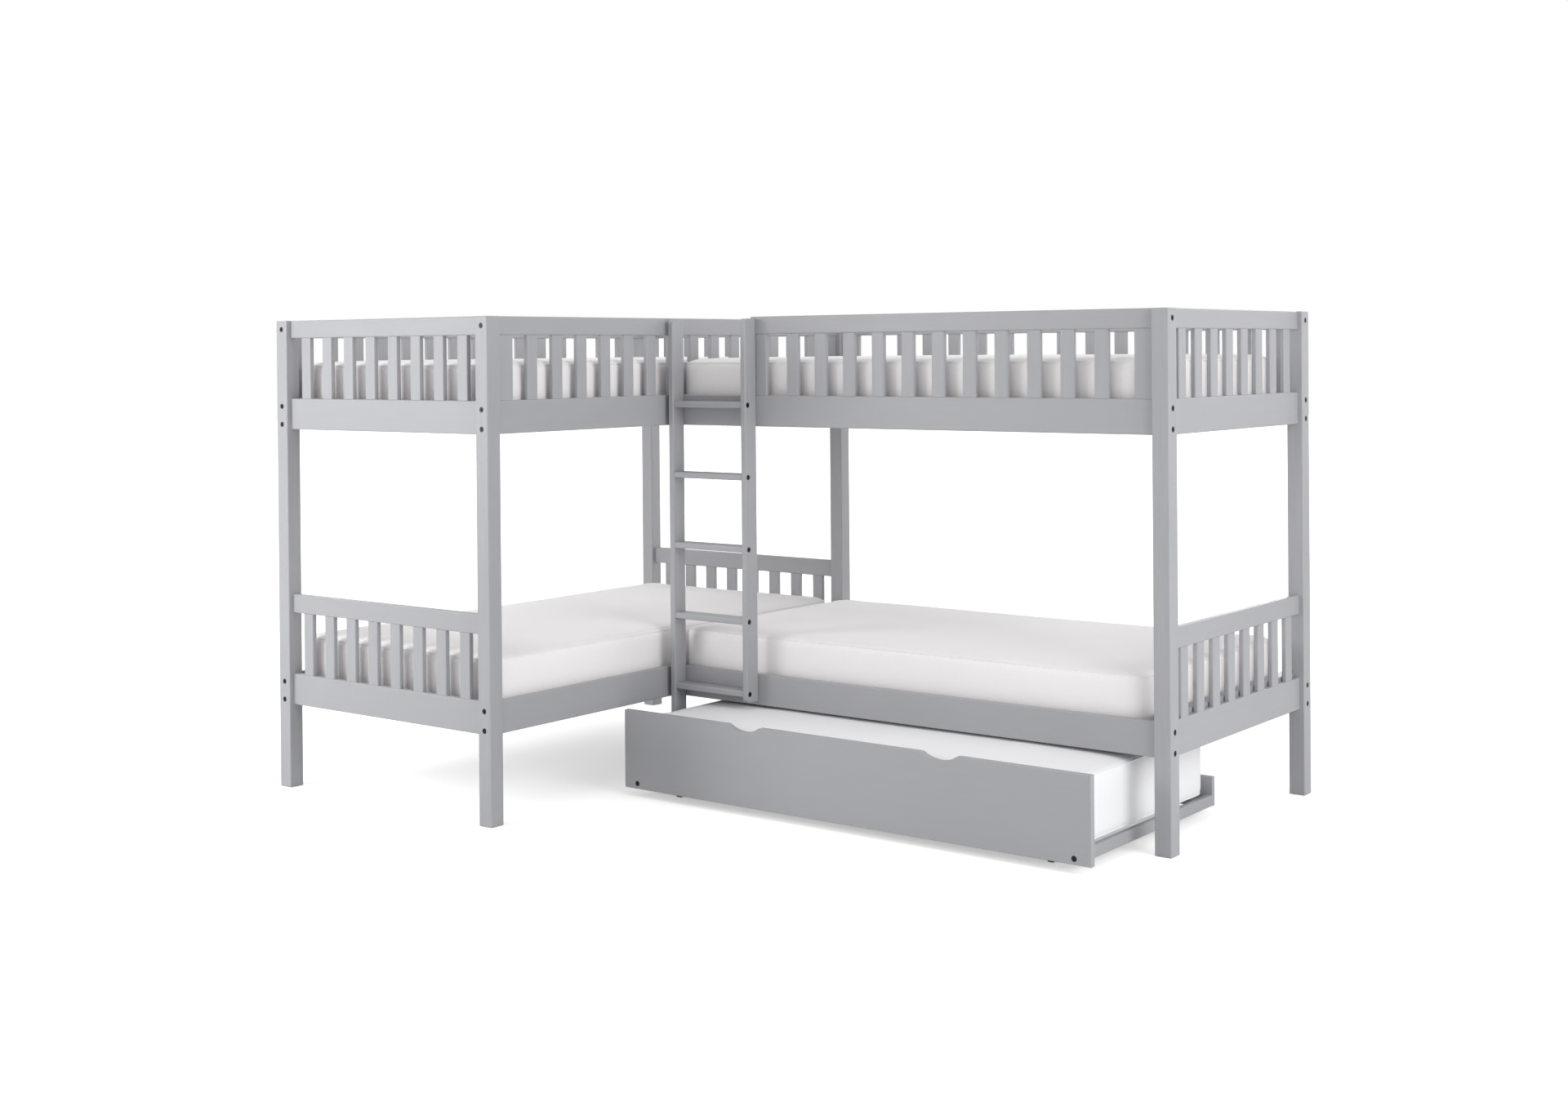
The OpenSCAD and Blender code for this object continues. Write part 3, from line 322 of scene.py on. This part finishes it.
BLACK_NODES = ("connector_bolts", "trundle_bolts")
ZINC_NODES = ("barrel_nuts", "corner_brackets", "caster_forks", "caster_axles")


def longest_axis(node):
    lo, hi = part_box(node)
    size = [hi[i] - lo[i] for i in range(3)]
    return "xyz"[size.index(max(size))]


def material_of(node):
    """The node's material.  Paint follows the grain, which runs along each board."""
    if "mattress" in node:
        return covers[body_of_node(node)]
    if node in BLACK_NODES:
        return black
    if node in ZINC_NODES:
        return zinc
    if node.endswith("wheels"):
        return tread
    if node.startswith("post") or node.endswith("_slats") and ("end" in node or "guard" in node):
        return wood["z"]
    if node.startswith("ladder"):
        return wood["x"] if node == "ladder_rungs" else wood["z"]
    if node == "deck_cleats":
        return deck["y"]
    if "deck_slats" in node:
        return deck["y"] if "trundle" in node else deck["x"]
    if node == "trundle_end_rails":
        return wood["y"]
    return wood[longest_axis(node)]


for node, obj in frame["nodes"].items():
    for slot in obj.material_slots:
        slot.material = material_of(node)


# ---------- mattresses ----------

def side_steps(half, spacing):
    """Number of steps along the straight stretch of a side this long."""
    return max(3, round(2 * (half - CORNER_R) / spacing))


def plan_outline(half_l, half_w, radii, pull, steps_l, steps_w):
    """Points round a rounded rectangle whose sides are drawn in at their middles.

    The radii belong to the corners at (+x, +y), (-x, +y), (-x, -y) and (+x, -y).
    """
    points = []
    for k, (sx, sy) in enumerate(((1, 1), (-1, 1), (-1, -1), (1, -1))):
        r = radii[k]
        for i in range(CORNER_STEPS + 1):
            a = math.radians(90 * (k + i / CORNER_STEPS))
            points.append((sx * (half_l - r) + r * math.cos(a),
                           sy * (half_w - r) + r * math.sin(a)))
        next_r = radii[(k + 1) % 4]
        along_l = k % 2 == 0
        if along_l:
            start, end, steps = sx * (half_l - r), -sx * (half_l - next_r), steps_l
        else:
            start, end, steps = sy * (half_w - r), -sy * (half_w - next_r), steps_w
        for i in range(1, steps):
            t = i / steps
            inward = pull * math.sin(math.pi * t)
            if along_l:
                points.append((lerp(start, end, t), sy * (half_w - inward)))
            else:
                points.append((sx * (half_l - inward), lerp(start, end, t)))
    return points


def inset_radii(radii, inset):
    return [max(r - inset, LEAST_R) for r in radii]


def profile(half_w, height):
    """Rings from the underside up: inset from the widest outline, height, share of the draw-in."""
    edge = height - CROWN
    rings = []
    for i in range(EDGE_STEPS + 1):
        a = math.radians(90 * i / EDGE_STEPS)
        share = EDGE_DRAW * i / EDGE_STEPS
        rings.append((EDGE_R * (1 - math.sin(a)), EDGE_R * (1 - math.cos(a)), share))
    for t in (0.25, 0.5, 0.75):
        share = EDGE_DRAW + (1 - EDGE_DRAW) * math.sin(math.pi * t)
        rings.append((0.0, lerp(EDGE_R, edge - EDGE_R, t), share))
    for i in range(EDGE_STEPS + 1):
        t = 1 - i / EDGE_STEPS
        a = math.radians(90 * t)
        rings.append((EDGE_R * (1 - math.sin(a)), edge - EDGE_R * (1 - math.cos(a)), EDGE_DRAW * t))
    for i in range(1, CROWN_STEPS + 1):
        t = i / CROWN_STEPS
        rings.append((lerp(EDGE_R, CROWN_REACH * half_w, t),
                      edge + CROWN * math.sin(math.pi / 2 * t), 0.0))
    return rings


def foam_block(name, half_l, half_w, height, radii):
    """Closed block in its own frame: centred in plan, underside at Z = 0, long side along X."""
    bm = bmesh.new()
    loops = []
    steps = side_steps(half_l, BLOCK_STEP), side_steps(half_w, BLOCK_STEP)
    for inset, z, share in profile(half_w, height):
        outline = plan_outline(half_l - inset, half_w - inset, inset_radii(radii, inset),
                               DRAW_IN * share, *steps)
        loops.append([bm.verts.new((x, y, z)) for x, y in outline])
    count = len(loops[0])
    for below, above in zip(loops, loops[1:]):
        for i in range(count):
            j = (i + 1) % count
            bm.faces.new((below[i], below[j], above[j], above[i]))
    bm.faces.new(list(reversed(loops[0])))
    bm.faces.new(loops[-1])
    bmesh.ops.remove_doubles(bm, verts=bm.verts, dist=MERGE)
    bmesh.ops.triangulate(bm, faces=[f for f in bm.faces if len(f.verts) > 4])
    return mesh_from(name, bm)


def apply_modifiers(obj):
    depsgraph = bpy.context.evaluated_depsgraph_get()
    mesh = bpy.data.meshes.new_from_object(obj.evaluated_get(depsgraph))
    obj.modifiers.clear()
    old = obj.data
    obj.data = mesh
    bpy.data.meshes.remove(old)


def simulate_pressure(obj):
    """A short cloth simulation in which only pressure acts, applied to the mesh."""
    cloth = obj.modifiers.new("cloth", "CLOTH")
    settings = cloth.settings
    settings.quality = 4
    settings.mass = 0.3
    settings.tension_stiffness = settings.compression_stiffness = 18
    settings.shear_stiffness = 8
    settings.bending_stiffness = 0.6
    settings.use_pressure = True
    settings.uniform_pressure_force = 3.0
    settings.effector_weights.gravity = 0.0
    cloth.collision_settings.use_collision = False
    cloth.point_cache.frame_start, cloth.point_cache.frame_end = 1, SIM_FRAMES
    for step in range(1, SIM_FRAMES + 1):
        bpy.context.scene.frame_set(step)
    apply_modifiers(obj)
    bpy.context.scene.frame_set(1)


def puffed(obj):
    """Voxel remesh, then the simulation, with each point kept near where it started."""
    remesh = obj.modifiers.new("remesh", "REMESH")
    remesh.mode = "VOXEL"
    remesh.voxel_size = VOXEL
    apply_modifiers(obj)
    smooth = obj.modifiers.new("smooth", "SMOOTH")
    smooth.factor, smooth.iterations = 0.5, 1
    apply_modifiers(obj)
    start = [v.co.copy() for v in obj.data.vertices]
    simulate_pressure(obj)
    for v, before in zip(obj.data.vertices, start):
        move = v.co - before
        if move.length > PUFF:
            move *= PUFF / move.length
        resting = max(0.0, 1 - before.z / RESTING)
        move.z *= 1 - resting
        v.co = before + move
    return obj


def softened(obj, seed):
    """One subdivision and faint, uneven waves in the cover."""
    sub = obj.modifiers.new("sub", "SUBSURF")
    sub.levels = sub.render_levels = 1
    apply_modifiers(obj)
    normals = [v.normal.copy() for v in obj.data.vertices]
    for v, normal in zip(obj.data.vertices, normals):
        x, y, z = v.co
        share = min(1.0, max(0.0, (z - WAVES_FROM) / WAVES_OVER))
        broad = Vector((x * BROAD_PLAN + seed, y * BROAD_PLAN, z * BROAD_UP))
        fine = Vector((x * FINE_PLAN + seed, y * FINE_PLAN - seed, z * FINE_UP))
        wave = BROAD_WAVE * noise.noise(broad) + FINE_WAVE * noise.noise(fine)
        v.co += normal * wave * share
    shade_smooth(obj.data)
    obj.data.update()


def tube(name, path, radius):
    """Closed round tube along a closed path of points."""
    bm = bmesh.new()
    rings = []
    count = len(path)
    for i, point in enumerate(path):
        ahead = (path[(i + 1) % count] - path[i - 1]).normalized()
        out = ahead.cross(Vector((0, 0, 1))).normalized()
        up = out.cross(ahead).normalized()
        rings.append([bm.verts.new(point + radius * (math.cos(a) * out + math.sin(a) * up))
                      for a in (2 * math.pi * k / TAPE_SIDES for k in range(TAPE_SIDES))])
    for i in range(count):
        a, b = rings[i], rings[(i + 1) % count]
        for k in range(TAPE_SIDES):
            m = (k + 1) % TAPE_SIDES
            bm.faces.new((a[k], b[k], b[m], a[m]))
    bmesh.ops.recalc_face_normals(bm, faces=bm.faces)
    mesh = mesh_from(name, bm)
    shade_smooth(mesh)
    return mesh


def edge_tape(name, cover, half_l, half_w, radii, z):
    """Sewn tape round the cover at height z, laid on the cover's real surface."""
    tree = BVHTree.FromObject(cover, bpy.context.evaluated_depsgraph_get())
    steps = side_steps(half_l, TAPE_STEP), side_steps(half_w, TAPE_STEP)
    path = []
    for x, y in plan_outline(half_l - TAPE_IN, half_w - TAPE_IN, inset_radii(radii, TAPE_IN),
                             0.0, *steps):
        where, normal, _, _ = tree.find_nearest(Vector((x, y, z)))
        path.append(where + normal * TAPE_R * TAPE_PROUD)
    return add_object(name, tube(name, path, TAPE_R))


def half_sizes(node):
    """Half the node's length, half its width, and its height."""
    lo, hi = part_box(node)
    size = hi - lo
    return max(size.x, size.y) / 2, min(size.x, size.y) / 2, size.z


def build_block(key, node, radii):
    """The puffed block that stands for this node's size, in its own frame."""
    half_l, half_w, height = half_sizes(node)
    name = "block_" + key
    mesh = foam_block(name, half_l - INSET, half_w - INSET, height - INSET, radii)
    return puffed(add_object(name, mesh))


def mattress(node, block, radii, seed, rise):
    """Copies the block to the node's place, with its own waves, extra rise and edge tapes."""
    half_l, half_w, height = half_sizes(node)
    lo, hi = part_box(node)
    body = body_of_node(node)
    obj = add_object(node + "_cover", block.data.copy())
    for v in obj.data.vertices:
        v.co.z *= (height + rise) / height
    obj.data.update()
    softened(obj, seed)
    parts = [obj]
    for label, z in (("top", height + rise - CROWN - TAPE_IN), ("bottom", TAPE_IN)):
        parts.append(edge_tape(f"{node}_{label}_tape", obj, half_l, half_w, radii, z))
    lies_along_y = hi.y - lo.y > hi.x - lo.x
    turn = Matrix.Rotation(math.pi / 2, 4, "Z") if lies_along_y else Matrix.Identity(4)
    place = Matrix.Translation(((lo.x + hi.x) / 2, (lo.y + hi.y) / 2, lo.z)) @ turn
    for part in parts:
        part.data.transform(place)
        part.data.update()
        part.data.materials.clear()
        part.data.materials.append((covers if part is obj else tapes)[body])
        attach(part, body)
    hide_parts(node)


ROUND = (CORNER_R, CORNER_R, CORNER_R, CORNER_R)
BESIDE_LADDER = (CORNER_R, CORNER_R, HEAD_CORNER_R, CORNER_R)
left_block = build_block("left", "lower_left_mattress", ROUND)
right_block = build_block("right", "lower_right_mattress", BESIDE_LADDER)
trundle_block = build_block("trundle", "trundle_mattress", ROUND)
for node, block, radii, seed, rise in (
    ("upper_left_mattress", left_block, ROUND, 3.0, 0.0),
    ("lower_left_mattress", left_block, ROUND, 11.0, LOWER_RISE),
    ("upper_right_mattress", right_block, BESIDE_LADDER, 23.0, 0.0),
    ("lower_right_mattress", right_block, BESIDE_LADDER, 37.0, LOWER_RISE),
    ("trundle_mattress", trundle_block, ROUND, 51.0, TRUNDLE_RISE),
):
    mattress(node, block, radii, seed, rise)
for block in (left_block, right_block, trundle_block):
    bpy.data.objects.remove(block)


# ---------- floor and background ----------

FLOOR_R = 40.0
FLOOR_DROP = 0.0005          # the floor lies this much below the feet
FLOOR_COLOR = (0.90, 0.90, 0.90)
FLOOR_LIFT = 0.45            # white added near the object, where its shadow falls
FLOOR_WHITE = (3.5, 9.0)     # distances between which the floor turns to plain white
AMBIENT = 0.5                # strength of the even light from all round
WHITE = (1, 1, 1, 1)


def plain_floor():
    """Pale floor that catches the shadow and is plain white to the camera further out."""
    bm = bmesh.new()
    bmesh.ops.create_circle(bm, cap_ends=True, segments=96, radius=FLOOR_R)
    mesh = mesh_from("floor", bm)
    obj = add_object("floor", mesh)
    obj.location.z = -FLOOR_DROP
    floor = Shader("pale_floor", FLOOR_COLOR, roughness=0.9, Specular_IOR_Level=0.0)
    reach = floor.tree.nodes.new("ShaderNodeVectorMath")
    reach.operation = "LENGTH"
    floor.tree.links.new(floor.coords, reach.inputs[0])
    lift = floor.remap(reach.outputs["Value"], FLOOR_WHITE, (FLOOR_LIFT, 1.0))
    path = floor.tree.nodes.new("ShaderNodeLightPath")
    seen = floor.math("MULTIPLY", path.outputs["Is Camera Ray"], lift)
    floor.bsdf.inputs["Emission Color"].default_value = WHITE
    floor.tree.links.new(seen, floor.bsdf.inputs["Emission Strength"])
    mesh.materials.append(floor.mat)


def white_surroundings():
    """Even light on the object, and plain white where the camera or a reflection sees past it."""
    world = bpy.data.worlds.new("studio")
    bpy.context.scene.world = world
    world.use_nodes = True
    tree = world.node_tree
    back = tree.nodes["Background"]
    back.inputs["Color"].default_value = WHITE
    path = tree.nodes.new("ShaderNodeLightPath")
    seen = path.outputs["Is Camera Ray"]
    for ray in ("Is Glossy Ray", "Is Transmission Ray"):
        either = tree.nodes.new("ShaderNodeMath")
        either.operation = "MAXIMUM"
        tree.links.new(seen, either.inputs[0])
        tree.links.new(path.outputs[ray], either.inputs[1])
        seen = either.outputs[0]
    strength = tree.nodes.new("ShaderNodeMapRange")
    strength.inputs["To Min"].default_value = AMBIENT
    strength.inputs["To Max"].default_value = 1.0
    tree.links.new(seen, strength.inputs["Value"])
    tree.links.new(strength.outputs["Result"], back.inputs["Strength"])


plain_floor()
white_surroundings()


# ---------- lamps ----------

# name, place, the point it faces, side of the square in metres, power in watts
LAMPS = (
    ("front_left_lamp", (-2.3, -3.3, 1.7), (-1.1, -1.0, 0.9), 1.6, 58),
    ("front_lamp", (-0.5, -5.6, 2.0), (0.0, 0.0, 0.9), 3.0, 14),
    ("right_lamp", (5.5, -1.0, 2.4), (1.3, 0.2, 0.9), 3.2, 138),
    ("top_lamp", (0.0, -0.3, 5.0), (0.0, 0.0, 0.5), 4.0, 42),
    ("left_lamp", (-4.3, 0.3, 2.7), (-1.2, 0.0, 0.8), 3.0, 45),
    ("back_lamp", (0.8, 4.6, 2.2), (0.8, 0.4, 0.5), 3.0, 80),
)


def soft_lamp(name, place, target, size, power):
    lamp = bpy.data.lights.new(name, "AREA")
    lamp.shape = "SQUARE"
    lamp.size = size
    lamp.energy = power
    obj = add_object(name, lamp)
    obj.location = place
    facing = Vector(target) - Vector(place)
    obj.rotation_euler = facing.to_track_quat("-Z", "Y").to_euler()
    obj.visible_camera = False


for lamp in LAMPS:
    soft_lamp(*lamp)


# ---------- camera ----------

def photograph_camera():
    """The camera that took the photograph, turned by its yaw, pitch and roll."""
    data = bpy.data.cameras.new("camera")
    data.sensor_width = SENSOR_W
    data.sensor_fit = "HORIZONTAL"
    data.lens = data.sensor_width * FOCAL_PX / IMAGE_W
    data.shift_y = (HORIZON_PX - IMAGE_H / 2) / IMAGE_W
    data.clip_end = CLIP_END
    ahead = Vector((math.sin(CAMERA_YAW), math.cos(CAMERA_YAW), 0))
    side = Vector((math.cos(CAMERA_YAW), -math.sin(CAMERA_YAW), 0))
    up = Vector((0, 0, 1))
    forward = ahead * math.cos(CAMERA_PITCH) + up * math.sin(CAMERA_PITCH)
    top = up * math.cos(CAMERA_PITCH) - ahead * math.sin(CAMERA_PITCH)
    right = side * math.cos(CAMERA_ROLL) + top * math.sin(CAMERA_ROLL)
    top = top * math.cos(CAMERA_ROLL) - side * math.sin(CAMERA_ROLL)
    turn = Matrix((right, top, -forward)).transposed()
    obj = add_object("camera", data)
    obj.matrix_world = Matrix.Translation(CAMERA_PLACE) @ turn.to_4x4()
    bpy.context.scene.camera = obj


photograph_camera()
bpy.context.scene.view_settings.view_transform = "Standard"
